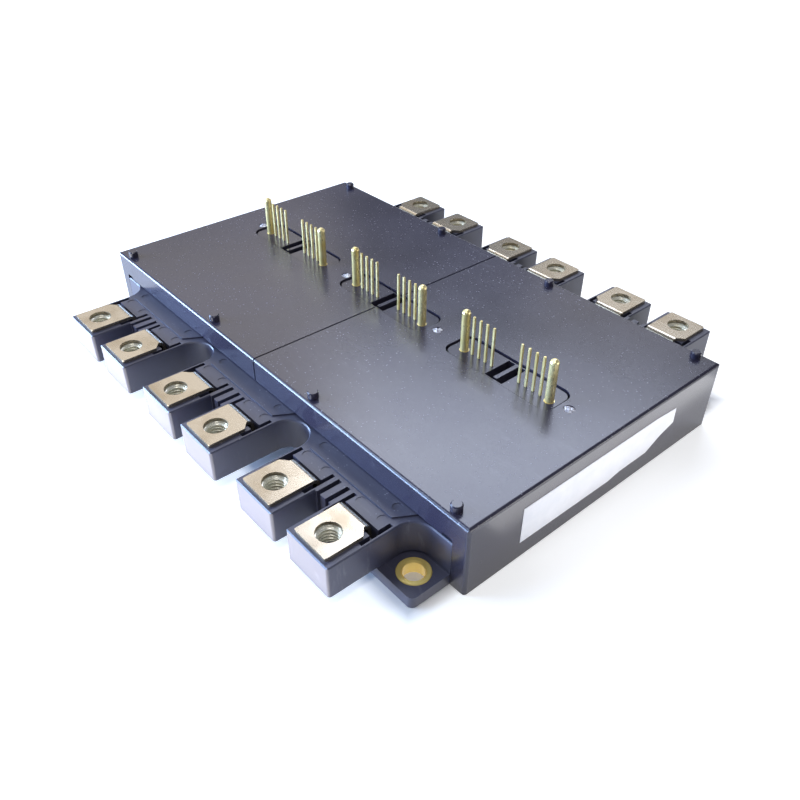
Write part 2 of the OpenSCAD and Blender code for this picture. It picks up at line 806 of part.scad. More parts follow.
// Half loops of aluminium wire from each IGBT to its diode
module bond_wires() {
    y = (igbt_y + igbt_side / 2 + diode_y - diode_w / 2) / 2;
    color("silver") at_switches() for (k = [-1.5:1:1.5])
        translate([k * wire_step, y, chip_t]) rotate([90, 0, 90]) intersection() {
            rotate_extrude($fn = 48) translate([wire_r, 0]) circle(d = wire_d, $fn = 24);
            translate([-2 * wire_r, 0, -over]) cube([4 * wire_r, 2 * wire_r, 2 * over]);
        }
}

// Pins that carry the gate and sense signals up to the control board
module gate_posts() {
    color("silver") at_switches() for (k = [-1, 1]) translate([k * post_x, post_y, 0])
        cylinder(d = post_d, h = board_shelf - foil_top, $fn = 24);
}

// Soft potting over the chips, cut back around the wires
module silicone_gel() {
    wires_y = (igbt_y + igbt_side / 2 + diode_y - diode_w / 2) / 2;
    color("lightcyan") difference() {
        translate([0, 0, chip_z]) linear_extrude(base_t + gel_h - chip_z)
            rounded_rect(well_l, well_w, base_r);
        at_switches() {
            translate([-wire_pocket / 2, wires_y - wire_pocket / 2, 0])
                cube([wire_pocket, wire_pocket, gel_h]);
            for (k = [-1, 1]) translate([k * post_x, post_y, 0])
                cylinder(d = post_d + 2 * pocket_clear, h = gel_h, $fn = 24);
        }
        for (i = [1:12]) at_terminal(i)
            box([-pad_w / 2, -well_w, bar_z],
                [leg_side, -bar_end + pocket_clear, bar_z + pad_t + pocket_clear]);
    }
}

module control_board() {
    color("darkgreen") difference() {
        translate([0, 0, board_shelf]) linear_extrude(board_t)
            square([board_l - 2 * board_fit, board_w - 2 * board_fit], center = true);
        for (p = PAIRS, x = pin_offsets())
            box([p * pair_spacing + x - pin_side / 2 - pin_fit, -pin_side / 2 - pin_fit,
                    board_shelf - over],
                [p * pair_spacing + x + pin_side / 2 + pin_fit, pin_side / 2 + pin_fit,
                    board_top + over]);
    }
}

// Gate driver circuits on the control board
module driver_chips() {
    color("black") for (i = [1:6]) translate([tile_x(i) - driver_l / 2,
        tile_y(i) * driver_spread - driver_w / 2, board_top])
            cube([driver_l, driver_w, driver_h]);
}

// ---- label ----

// Plain white sticker on the +X end wall, with one torn corner
module end_label() {
    l = label_l / 2;
    h = label_h / 2;
    color("white") translate([case_l / 2, label_y, label_z]) rotate([90, 0, 90])
        linear_extrude(label_t) polygon(concat(
            [for (p = label_tear) [l * p[0], p[1] - h]],
            [for (p = label_wear) [l * p[0], h - p[1]]]));
}

// ---- what is drawn ----

base_plate();
case_frame();
cover_left();
cover_right();
for (i = [1:12]) terminal(i);
for (i = [1:12]) nut(i);
for (i = [1:4]) mount_bush(i);
for (i = [1:3]) connector(i);
for (i = [1:3]) guide_pins(i);
for (i = [1:3]) signal_pins(i);
for (i = [1:6]) substrate(i);
igbt_chips();
diode_chips();
bond_wires();
gate_posts();
silicone_gel();
control_board();
driver_chips();
end_label();
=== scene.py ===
# %% [markdown]
# # A six-switch power module, dressed for its picture
#
# The module is a flat brick of dark moulded plastic. Its construction is already
# fixed by the imported model, so this lesson only adds what construction leaves out:
# the finish of each surface, the screw threads inside the terminal nuts, the broken
# stubs of the mould gates, the paper finish of the label, and a plain pale studio around it.
# Every length is in metres and every piece sits where the imported model says.

import bpy
import numpy as np
from mathutils import Matrix, Vector


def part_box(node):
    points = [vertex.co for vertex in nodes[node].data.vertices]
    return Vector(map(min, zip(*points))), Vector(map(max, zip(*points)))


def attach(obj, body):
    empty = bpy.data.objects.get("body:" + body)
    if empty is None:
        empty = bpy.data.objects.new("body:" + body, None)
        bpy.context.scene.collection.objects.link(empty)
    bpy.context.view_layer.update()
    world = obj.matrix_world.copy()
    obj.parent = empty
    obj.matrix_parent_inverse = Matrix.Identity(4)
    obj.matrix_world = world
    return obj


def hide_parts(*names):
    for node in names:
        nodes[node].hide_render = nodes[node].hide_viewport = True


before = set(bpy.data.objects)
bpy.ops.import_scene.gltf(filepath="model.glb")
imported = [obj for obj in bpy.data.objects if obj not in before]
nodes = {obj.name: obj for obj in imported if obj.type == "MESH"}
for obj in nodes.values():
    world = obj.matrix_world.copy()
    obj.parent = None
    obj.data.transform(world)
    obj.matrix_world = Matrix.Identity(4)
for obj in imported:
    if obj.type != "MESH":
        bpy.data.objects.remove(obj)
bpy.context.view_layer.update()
MM = 0.001

# %% [markdown]
# ## The camera
#
# The module is seen from its front right corner, from about 37 degrees above the
# table. The camera is given by where it stands and by its three axes, which are more
# exact than a target and a roll. Depth of field stays off.

# %% Place the camera
CAMERA_PLACE = Vector((0.16546878, -0.13791400, 0.14660545))
CAMERA_RIGHT = (0.65124416, 0.75884813, 0.00552802)
CAMERA_UP = (-0.46183493, 0.3905459, 0.7963557)
CAMERA_BACK = (0.60215409, -0.52117503, 0.60480331)

lens = bpy.data.cameras.new("Camera")
lens.lens = 35.65
lens.sensor_width = 36.0
lens.clip_start = 0.01
lens.clip_end = 20.0
camera = bpy.data.objects.new("Camera", lens)
bpy.context.scene.collection.objects.link(camera)
turn = Matrix((CAMERA_RIGHT, CAMERA_UP, CAMERA_BACK)).transposed().to_4x4()
camera.matrix_world = Matrix.Translation(CAMERA_PLACE) @ turn
bpy.context.scene.camera = camera
bpy.context.scene.view_settings.view_transform = "Standard"

# %% [markdown]
# ## Small helpers
#
# Colours are written the way a paint program shows them, from 0 to 255, and turned
# into the linear light that a renderer works in. A material is started with one
# Principled shader, and its plain values are set on the shader's own sockets. Two
# helpers do arithmetic between the nodes of a material.
# Surfaces are grids of points: one helper joins each point to its neighbours and
# can close the grid along either direction.


# %% Colours, nodes and materials
def tone(red, green, blue):
    """A screen colour as linear light: c/12.92 near black, else ((c + 0.055)/1.055)^2.4."""
    c = np.array((red, green, blue)) / 255.0
    linear = np.where(c <= 0.04045, c / 12.92, ((c + 0.055) / 1.055) ** 2.4)
    return (*linear.tolist(), 1.0)


def add(tree, kind, at=(0, 0), **values):
    """One shader node. A value is a setting of the node if it has one of that name, and
    otherwise the plain value of the input of that name.
    """
    made = tree.nodes.new(kind)
    made.location = (at[0] * 200, at[1] * 200)
    for name, value in values.items():
        if hasattr(made, name):
            setattr(made, name, value)
        else:
            made.inputs[name.replace("_", " ")].default_value = value
    return made


def start_material(name, **values):
    """A new material with one Principled shader, and that shader's plain values."""
    material = bpy.data.materials.new(name)
    material.use_nodes = True
    shader = material.node_tree.nodes["Principled BSDF"]
    for key, value in values.items():
        shader.inputs[key.replace("_", " ")].default_value = value
    return material, material.node_tree, shader


# %% Arithmetic between nodes
def calculate(tree, operation, first, second=None, at=(0, 0), clamp=False):
    """A Math node. Each operand is a number or another node's output socket."""
    made = add(tree, "ShaderNodeMath", at, operation=operation)
    made.use_clamp = clamp
    for place, value in enumerate((first, second)):
        if isinstance(value, bpy.types.NodeSocket):
            tree.links.new(value, made.inputs[place])
        elif value is not None:
            made.inputs[place].default_value = value
    return made.outputs[0]


def ramp(tree, value, low, high, to_low=0.0, to_high=1.0, at=(0, 0)):
    """A Map Range node: low..high becomes to_low..to_high, held at both ends."""
    made = add(tree, "ShaderNodeMapRange", at)
    made.inputs["From Min"].default_value = low
    made.inputs["From Max"].default_value = high
    made.inputs["To Min"].default_value = to_low
    made.inputs["To Max"].default_value = to_high
    tree.links.new(value, made.inputs["Value"])
    return made.outputs["Result"]


# %% Surfaces from a grid of points
def surface(name, points, close_rows=False, close_columns=False, smooth=True):
    """A mesh object of quads from points shaped (rows, columns, 3).

    Point (r, c) joins (r, c+1), (r+1, c+1) and (r+1, c). A closed direction joins
    its last line of points to its first.
    """
    rows, columns = points.shape[:2]
    number = np.arange(rows * columns).reshape(rows, columns)
    if close_rows:
        number = np.vstack((number, number[:1]))
    if close_columns:
        number = np.hstack((number, number[:, :1]))
    quads = np.stack(
        (number[:-1, :-1], number[:-1, 1:], number[1:, 1:], number[1:, :-1]), axis=-1
    ).reshape(-1, 4)
    mesh = bpy.data.meshes.new(name)
    mesh.from_pydata(points.reshape(-1, 3).tolist(), [], quads.tolist())
    mesh.polygons.foreach_set("use_smooth", np.full(len(quads), smooth))
    mesh.update()
    made = bpy.data.objects.new(name, mesh)
    bpy.context.scene.collection.objects.link(made)
    return made


# %% [markdown]
# ## The studio
#
# Glossy dark plastic shows its surroundings more than its own colour. A broad soft
# box high behind the module is mirrored in the near half of the lid, while the far
# half mirrors the dim room below that box. A warm wall on the left is mirrored by the
# near terminal plates, and a small warm card by the far ones. A cool window and a
# blue strip at the front left light the long edges. A small light high above the
# camera reaches the threads down in the nuts, and a low one on the right lights the
# sticker and the end wall. Two cards lie on the floor, hidden from the camera, where
# the upright faces mirror them.
#
# The floor is pale, and only the camera and mirrors see it a little brighter, so it
# still holds the module's shadow. It brightens to white far away, where the lamps no
# longer reach. Right under the module the camera sees it unbrightened, because the
# holes of the mounting bushes look down on it there. The room is white to the camera
# and a dim blue to everything else.

# %% Floor
FLOOR_HALF = 4.0
COVERED_HALF = {"X": 0.081, "Y": 0.062}
COVERED_EDGE = 0.004
NEAR, FAR = 0.25, 1.2
NEAR_LIFT, FAR_LIFT = 0.50, 1.0

floor = surface(
    "Floor",
    np.array(
        [
            [(-FLOOR_HALF, -FLOOR_HALF, 0.0), (FLOOR_HALF, -FLOOR_HALF, 0.0)],
            [(-FLOOR_HALF, FLOOR_HALF, 0.0), (FLOOR_HALF, FLOOR_HALF, 0.0)],
        ]
    ),
    smooth=False,
)
floor_paint, tree, shader = start_material(
    "Pale floor", Base_Color=(0.86, 0.86, 0.855, 1.0), Roughness=0.7
)
shader.inputs["Specular IOR Level"].default_value = 0.2
seen = add(tree, "ShaderNodeLightPath", (-3, 1))
where = add(tree, "ShaderNodeTexCoord", (-5, -1))
split = add(tree, "ShaderNodeSeparateXYZ", (-4, -1))
tree.links.new(where.outputs["Object"], split.inputs[0])
outside = []
for axis, half in COVERED_HALF.items():
    away = calculate(tree, "ABSOLUTE", split.outputs[axis], at=(-3, -1))
    outside.append(ramp(tree, away, half, half + COVERED_EDGE, at=(-2, -1)))
clear = calculate(tree, "MAXIMUM", *outside, (-2, 0))
bare = calculate(tree, "MULTIPLY", seen.outputs["Is Camera Ray"], clear, (-2, 2))
shown = calculate(tree, "MAXIMUM", bare, seen.outputs["Is Glossy Ray"], (-1, 2))
reach = add(tree, "ShaderNodeVectorMath", (-4, 3), operation="LENGTH")
tree.links.new(where.outputs["Object"], reach.inputs[0])
brighter = ramp(tree, reach.outputs["Value"], NEAR, FAR, NEAR_LIFT, FAR_LIFT, (-3, 3))
lift = calculate(tree, "MULTIPLY", shown, brighter, (-1, 1))
glow = add(tree, "ShaderNodeEmission", (0, 1), Color=(1, 1, 1, 1))
tree.links.new(lift, glow.inputs["Strength"])
both = add(tree, "ShaderNodeAddShader", (1, 0))
tree.links.new(shader.outputs[0], both.inputs[0])
tree.links.new(glow.outputs[0], both.inputs[1])
tree.links.new(both.outputs[0], tree.nodes["Material Output"].inputs["Surface"])
floor.data.materials.append(floor_paint)

# %% World
world = bpy.data.worlds.new("Room")
bpy.context.scene.world = world
world.use_nodes = True
tree = world.node_tree
room = tree.nodes["Background"]
room.inputs["Color"].default_value = (0.80, 0.86, 1.0, 1.0)
room.inputs["Strength"].default_value = 0.20
white = add(tree, "ShaderNodeBackground", (0, -1), Color=(1, 1, 1, 1), Strength=1.0)
seen = add(tree, "ShaderNodeLightPath", (-1, 1))
choose = add(tree, "ShaderNodeMixShader", (1, 0))
tree.links.new(seen.outputs["Is Camera Ray"], choose.inputs["Fac"])
tree.links.new(room.outputs[0], choose.inputs[1])
tree.links.new(white.outputs[0], choose.inputs[2])
tree.links.new(choose.outputs[0], tree.nodes["World Output"].inputs["Surface"])


# %% Lamps
def soft_box(name, place, target, size, power, colour):
    """A rectangular area lamp at place, turned so that it faces target."""
    lamp = bpy.data.lights.new(name, "AREA")
    lamp.shape = "RECTANGLE"
    lamp.size, lamp.size_y = size
    lamp.energy = power
    lamp.color = colour
    made = bpy.data.objects.new(name, lamp)
    bpy.context.scene.collection.objects.link(made)
    made.location = place
    away = Vector(place) - Vector(target)
    made.rotation_euler = away.to_track_quat("Z", "Y").to_euler()
    made.visible_camera = False


WARM = (1.0, 0.93, 0.84)
COOL = (0.62, 0.78, 1.0)
DEEP_BLUE = (0.42, 0.62, 1.0)
WHITE = (1.0, 1.0, 1.0)
PALE_BLUE = (0.76, 0.83, 1.0)

MIDDLE = (0, 0, 0)
LAMPS = (
    # name, place, what it faces, size, power, colour
    ("Sky box", (-0.51, 0.69, 0.92), MIDDLE, (0.67, 0.38), 6.7, PALE_BLUE),
    ("Warm wall", (-1.06, 0.33, 0.85), MIDDLE, (0.80, 0.66), 2.6, WARM),
    ("Window", (-0.72, -0.65, 0.63), MIDDLE, (0.45, 0.95), 10.0, COOL),
    ("Front strip", (-0.50, -0.52, 0.10), (0, 0, 0.012), (0.70, 0.14), 19.0, DEEP_BLUE),
    ("Right fill", (0.98, 0.60, 0.17), (0, 0, 0.01), (0.60, 0.26), 3.0, WHITE),
    ("Top light", (0.30, -0.36, 1.20), MIDDLE, (0.30, 0.30), 3.6, WHITE),
    ("Far card", (-0.445, 0.873, 0.50), (0, 0, 0.02), (0.30, 0.24), 0.22, WARM),
    ("Front card", (-0.02, -0.088, 0.002), (-0.02, -0.088, 1), (0.19, 0.024), 0.052, WARM),
    ("Right card", (0.112, 0.020, 0.002), (0.112, 0.020, 1), (0.036, 0.10), 0.018, WHITE),
)
for lamp in LAMPS:
    soft_box(*lamp)

# %% [markdown]
# ## Shared surface effects
#
# Three effects come back in several materials, so each is a node group with named
# sockets, built once. "Moulded skin" is the fine spark-eroded grain and the soft
# cloudiness of moulded plastic. "Dust" scatters pale specks over faces that look
# upwards. "Scuffs" draws short pale rubs and handling streaks.


# %% Group helper
def start_group(name, takes, gives):
    """An empty shader node group with the sockets that takes and gives list.

    takes is {name: default}, where None stands for a vector; gives names the outputs,
    which are all numbers.
    """
    group = bpy.data.node_groups.new(name, "ShaderNodeTree")
    for key, value in takes.items():
        kind = "NodeSocketVector" if value is None else "NodeSocketFloat"
        socket = group.interface.new_socket(name=key, in_out="INPUT", socket_type=kind)
        if value is not None:
            socket.default_value = value
    for key in gives:
        group.interface.new_socket(name=key, in_out="OUTPUT", socket_type="NodeSocketFloat")
    start = group.nodes.new("NodeGroupInput")
    end = group.nodes.new("NodeGroupOutput")
    start.location, end.location = (-1200, 0), (900, 0)
    return group, start, end


# %% Moulded skin
skin, start, end = start_group(
    "Moulded skin",
    {"Vector": None, "Grain size": 0.0006, "Cloud size": 0.03},
    ("Height", "Cloud"),
)
fine = add(skin, "ShaderNodeTexNoise", (-3, 1), Detail=2.0, Roughness=0.6)
broad = add(skin, "ShaderNodeTexNoise", (-3, -1), Detail=4.0, Roughness=0.55)
skin.links.new(start.outputs["Vector"], fine.inputs["Vector"])
skin.links.new(start.outputs["Vector"], broad.inputs["Vector"])
for noise, size in ((fine, "Grain size"), (broad, "Cloud size")):
    scale = calculate(skin, "DIVIDE", 1.0, start.outputs[size], (-4, 0))
    skin.links.new(scale, noise.inputs["Scale"])
skin.links.new(fine.outputs["Fac"], end.inputs["Height"])
soft = ramp(skin, broad.outputs["Fac"], 0.35, 0.65, at=(-1, -1))
skin.links.new(soft, end.inputs["Cloud"])

# %% Dust
SPECK_REACH = 0.42
SPECK_EDGE = 9.0

dust, start, end = start_group(
    "Dust", {"Vector": None, "Speck size": 0.0012, "Amount": 0.4}, ("Mask",)
)
scale = calculate(dust, "DIVIDE", 1.0, start.outputs["Speck size"], (-5, 0))
cells = add(dust, "ShaderNodeTexVoronoi", (-4, 0), Randomness=1.0)
patches = add(dust, "ShaderNodeTexNoise", (-4, -2), Scale=28.0, Detail=3.0)
dust.links.new(start.outputs["Vector"], cells.inputs["Vector"])
dust.links.new(start.outputs["Vector"], patches.inputs["Vector"])
dust.links.new(scale, cells.inputs["Scale"])
lot = add(dust, "ShaderNodeSeparateColor", (-3, 1))
dust.links.new(cells.outputs["Color"], lot.inputs["Color"])
chosen = calculate(dust, "LESS_THAN", lot.outputs["Red"], start.outputs["Amount"], (-2, 1))
reach = calculate(dust, "MULTIPLY", lot.outputs["Green"], SPECK_REACH, (-2, 0))
inside = calculate(dust, "SUBTRACT", reach, cells.outputs["Distance"], (-1, 0))
inside = calculate(dust, "MULTIPLY", inside, SPECK_EDGE, (0, 0), clamp=True)
speck = calculate(dust, "MULTIPLY", inside, chosen, (1, 0))
crowd = ramp(dust, patches.outputs["Fac"], 0.42, 0.6, 0.15, 1.0, (-2, -2))
speck = calculate(dust, "MULTIPLY", speck, crowd, (2, 0))
facing = add(dust, "ShaderNodeTexCoord", (-4, -4))
parts = add(dust, "ShaderNodeSeparateXYZ", (-3, -4))
dust.links.new(facing.outputs["Normal"], parts.inputs[0])
upward = ramp(dust, parts.outputs["Z"], 0.2, 0.9, 0.0, 1.0, (-2, -4))
speck = calculate(dust, "MULTIPLY", speck, upward, (3, 0))
dust.links.new(speck, end.inputs["Mask"])

# %% Scuffs
scuffs, start, end = start_group(
    "Scuffs", {"Vector": None, "Length": 0.012, "Amount": 0.5}, ("Mask",)
)
stretch = add(scuffs, "ShaderNodeMapping", (-4, 0))
stretch.inputs["Scale"].default_value = (1.0, 5.0, 1.0)
stretch.inputs["Rotation"].default_value = (0.0, 0.0, 0.6)
scuffs.links.new(start.outputs["Vector"], stretch.inputs["Vector"])
rub = add(scuffs, "ShaderNodeTexNoise", (-3, 0), Detail=5.0, Roughness=0.7, Distortion=0.4)
scuffs.links.new(stretch.outputs[0], rub.inputs["Vector"])
scale = calculate(scuffs, "DIVIDE", 1.0, start.outputs["Length"], (-4, 2))
scuffs.links.new(scale, rub.inputs["Scale"])
where = add(scuffs, "ShaderNodeTexNoise", (-3, -2), Scale=17.0, Detail=1.0)
scuffs.links.new(start.outputs["Vector"], where.inputs["Vector"])
streak = ramp(scuffs, rub.outputs["Fac"], 0.56, 0.74, at=(-2, 0))
zone = ramp(scuffs, where.outputs["Fac"], 0.50, 0.68, at=(-2, -2))
found = calculate(scuffs, "MULTIPLY", streak, zone, (-1, 0))
found = calculate(scuffs, "MULTIPLY", found, start.outputs["Amount"], (0, 0))
scuffs.links.new(found, end.inputs["Mask"])


# %% Placing a group in a material
def place_group(tree, group, at, **values):
    """A node group on the piece's own Object coordinates, with its values set."""
    made = tree.nodes.new("ShaderNodeGroup")
    made.node_tree = group
    made.location = (at[0] * 200, at[1] * 200)
    where = tree.nodes.get("Texture Coordinate") or add(tree, "ShaderNodeTexCoord", (-6, 0))
    tree.links.new(where.outputs["Object"], made.inputs["Vector"])
    for key, value in values.items():
        made.inputs[key.replace("_", " ")].default_value = value
    return made


def blend_colours(tree, amount, first, second, at=(0, 0)):
    """A Mix node on colours. amount is a socket; each colour a socket or four numbers."""
    made = add(tree, "ShaderNodeMix", at, data_type="RGBA")
    tree.links.new(amount, made.inputs["Factor"])
    for socket, value in ((made.inputs[6], first), (made.inputs[7], second)):
        if isinstance(value, bpy.types.NodeSocket):
            tree.links.new(value, socket)
        else:
            socket.default_value = value
    return made.outputs[2]


def bump(tree, height, distance, strength=1.0, at=(0, 0)):
    """A Bump node's normal: height times distance is how far the skin rises, in metres."""
    made = add(tree, "ShaderNodeBump", at, Strength=strength, Distance=distance)
    tree.links.new(height, made.inputs["Height"])
    return made.outputs["Normal"]


# %% [markdown]
# ## Moulded plastic
#
# The covers, the frame with its terminal blocks and the connector bodies are all
# glass-filled plastic, dark with a violet cast. They differ in gloss: the covers are
# smooth, the frame is rougher, the connector faces are the glossiest. One function
# makes all three, because only their numbers differ.


# %% Moulded plastic
SKIN_GRAIN = 0.0006
SKIN_RISE = 0.00003
SPECK_SIZE = 0.00055
SPECK_DULLS = 0.25
SPECK_TONE = (126, 124, 138)
RUB_TONE = (150, 148, 156)


def moulded_plastic(name, dark, light, gloss, dusty, scuffed):
    """Dark plastic between two tones, with grain, dust specks and faint scuffs."""
    material, tree, shader = start_material(name, Roughness=gloss[0], IOR=1.58)
    face = place_group(tree, skin, (-4, 2), Grain_size=SKIN_GRAIN)
    specks = place_group(tree, dust, (-4, 0), Speck_size=SPECK_SIZE, Amount=dusty)
    rubs = place_group(tree, scuffs, (-4, -2), Amount=scuffed)
    body = blend_colours(tree, face.outputs["Cloud"], tone(*dark), tone(*light), (-2, 2))
    body = blend_colours(tree, rubs.outputs["Mask"], body, tone(*RUB_TONE), (-1, 2))
    body = blend_colours(tree, specks.outputs["Mask"], body, tone(*SPECK_TONE), (0, 2))
    tree.links.new(body, shader.inputs["Base Color"])
    rough = ramp(tree, face.outputs["Cloud"], 0.0, 1.0, gloss[0], gloss[1], (-2, 0))
    dulled = calculate(tree, "MULTIPLY", specks.outputs["Mask"], SPECK_DULLS, (-2, -1))
    rough = calculate(tree, "ADD", rough, dulled, (-1, -1), True)
    tree.links.new(rough, shader.inputs["Roughness"])
    normal = bump(tree, face.outputs["Height"], SKIN_RISE, 0.35, (-1, -2))
    tree.links.new(normal, shader.inputs["Normal"])
    return material


PLASTICS = {
    # dark and light tone, gloss from and to, share of dust, strength of scuffs
    "Cover plastic": ((42, 39, 53), (49, 46, 62), (0.24, 0.27), 0.18, 0.12),
    "Frame plastic": ((58, 58, 74), (68, 68, 86), (0.36, 0.44), 0.14, 0.25),
    "Connector plastic": ((46, 44, 58), (55, 53, 67), (0.20, 0.24), 0.10, 0.10),
}
plastic = {name: moulded_plastic(name, *values) for name, values in PLASTICS.items()}

# %% [markdown]
# ## Metals
#
# The terminal plates are plated copper, tan silver and finely rolled, with duller
# patches where fingers and washers touched. The nuts are zinc plated steel, the
# mounting bushes turned brass, the pins gilded brass, the base plate nickel on
# copper. Each gets streaks or clouds in its roughness, which is what makes bare
# metal look worked and not poured.


# %% Worked metal
STAINS_PER_METRE = 110.0
STAIN_DULLS = 0.05
WORKED_RISE = 0.0000005


def worked_metal(name, clean, stained, gloss, streak, size, metallic):
    """Metal between a clean and a stained tone. Its grain has the size given, divided
    along x, y and z by streak.
    """
    material, tree, shader = start_material(name, Metallic=metallic, Roughness=gloss[0])
    where = add(tree, "ShaderNodeTexCoord", (-6, 0))
    drawn = add(tree, "ShaderNodeMapping", (-5, 0))
    drawn.inputs["Scale"].default_value = streak
    tree.links.new(where.outputs["Object"], drawn.inputs["Vector"])
    lines = add(tree, "ShaderNodeTexNoise", (-4, 0), Scale=1.0 / size, Detail=3.0)
    tree.links.new(drawn.outputs[0], lines.inputs["Vector"])
    marks = add(tree, "ShaderNodeTexNoise", (-4, -2), Scale=STAINS_PER_METRE, Detail=3.0)
    marks.inputs["Roughness"].default_value = 0.5
    tree.links.new(where.outputs["Object"], marks.inputs["Vector"])
    stain = ramp(tree, marks.outputs["Fac"], 0.45, 0.72, at=(-3, -2))
    body = blend_colours(tree, stain, tone(*clean), tone(*stained), (-1, 1))
    tree.links.new(body, shader.inputs["Base Color"])
    rough = ramp(tree, lines.outputs["Fac"], 0.3, 0.7, gloss[0], gloss[1], (-3, 0))
    duller = calculate(tree, "MULTIPLY", stain, STAIN_DULLS, (-2, -1))
    rough = calculate(tree, "ADD", rough, duller, (-1, 0), True)
    tree.links.new(rough, shader.inputs["Roughness"])
    normal = bump(tree, lines.outputs["Fac"], WORKED_RISE, 0.2, (-1, -2))
    tree.links.new(normal, shader.inputs["Normal"])
    return material


METALS = {
    # clean and stained tone, gloss from and to, streak, grain size, metallic
    "Plated copper":
        ((175, 165, 148), (155, 141, 119), (0.23, 0.25), (1, 6, 6), 0.004, 0.8),
    "Zinc plated steel":
        ((250, 246, 230), (238, 230, 204), (0.22, 0.30), (4, 4, 1), 0.0012, 0.3),
    "Turned brass":
        ((250, 222, 132), (236, 196, 98), (0.20, 0.27), (1, 1, 8), 0.0016, 0.45),
    "Gilded brass":
        ((238, 220, 160), (214, 188, 114), (0.24, 0.32), (5, 5, 1), 0.002, 0.6),
    "Nickel plated copper":
        ((190, 186, 180), (160, 150, 138), (0.28, 0.42), (1, 12, 1), 0.002, 1),
    "Bonding aluminium":
        ((210, 212, 216), (180, 182, 188), (0.25, 0.35), (1, 1, 6), 0.0005, 1),
}
metal = {name: worked_metal(name, *values) for name, values in METALS.items()}

# %% [markdown]
# ## Inner finishes and paper
#
# Nothing inside shows while the module is closed, but the pieces are lifted out when
# it is taken apart, so they get their own finishes: white ceramic, grey silicon, pale
# grey gel, a green board, black packages. The sticker is matte paper with a soft
# fibre and faint handling dirt. The torn plastic is for the gate stubs further down.


# %% Mottled solids
def mottled(name, first, second, gloss, size, depth, cloud):
    """A material whose colour wanders between two tones over cloud times the grain."""
    material, tree, shader = start_material(name, Roughness=gloss)
    face = place_group(tree, skin, (-4, 0), Grain_size=size, Cloud_size=size * cloud)
    colour = blend_colours(tree, face.outputs["Cloud"], tone(*first), tone(*second), (-2, 1))
    tree.links.new(colour, shader.inputs["Base Color"])
    normal = bump(tree, face.outputs["Height"], depth, 0.3, (-1, -1))
    tree.links.new(normal, shader.inputs["Normal"])
    return material


SOLIDS = {
    # two tones, gloss, grain size, grain depth, how many grains make a cloud
    "White ceramic": ((226, 224, 218), (236, 235, 230), 0.45, 0.0006, 0.00001, 12),
    "Silicon": ((112, 116, 124), (136, 140, 148), 0.25, 0.0008, 0.000004, 12),
    "Silicone gel": ((196, 200, 204), (208, 212, 214), 0.18, 0.004, 0.00002, 12),
    "Board lacquer": ((26, 84, 52), (32, 98, 60), 0.35, 0.0012, 0.00001, 12),
    "Package plastic": ((28, 28, 30), (38, 38, 40), 0.5, 0.0005, 0.00001, 12),
    "Label paper": ((246, 245, 248), (238, 238, 242), 0.6, 0.0004, 0.000012, 12),
    "Torn plastic": ((252, 250, 254), (128, 124, 138), 0.45, 0.0003, 0.00008, 3),
}
solid = {name: mottled(name, *values) for name, values in SOLIDS.items()}

# %% [markdown]
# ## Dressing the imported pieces
#
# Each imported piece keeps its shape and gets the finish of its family.

# %% Hand out the finishes
FINISH = {
    "cover_": plastic["Cover plastic"],
    "case_frame": plastic["Frame plastic"],
    "connector_": plastic["Connector plastic"],
    "terminal_": metal["Plated copper"],
    "nut_": metal["Zinc plated steel"],
    "mount_bush_": metal["Turned brass"],
    "guide_pins_": metal["Gilded brass"],
    "signal_pins_": metal["Gilded brass"],
    "base_plate": metal["Nickel plated copper"],
    "substrate_": solid["White ceramic"],
    "igbt_chips": solid["Silicon"],
    "diode_chips": solid["Silicon"],
    "bond_wires": metal["Bonding aluminium"],
    "gate_posts": metal["Bonding aluminium"],
    "silicone_gel": solid["Silicone gel"],
    "control_board": solid["Board lacquer"],
    "driver_chips": solid["Package plastic"],
    "end_label": solid["Label paper"],
}
for name, piece in nodes.items():
    start_of_name = next(key for key in FINISH if name.startswith(key))
    for place in piece.material_slots:
        place.material = FINISH[start_of_name]
print("dressed", len(nodes), "packed pieces")

# %% [markdown]
# ## Threaded nuts
#
# A nut under each terminal plate holds the busbar screw. Through the hole in the
# plate its thread shows as bright rings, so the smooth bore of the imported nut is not
# enough. A nut is one closed sheet: a profile runs up the bore, over the top face,
# down the outside and back under, and at every angle around the axis the profile is
# the same, except that the hexagon sets how far out it goes and the thread moves up
# by one pitch in a turn.

# %% Build one nut's points
NUT_BORE = 2.5 * MM
NUT_SPOKES, BORE_RINGS = 72, 67
THREAD_PITCH = 1.0 * MM
THREAD_DEPTH = 0.62 * MM
COUNTERSINK = 0.55 * MM
CORNER_FALL = 0.35 * MM
EDGE_FALL = 0.1 * MM
EDGE_WIDTH = 0.2 * MM
EDGE_REACH = 1.03


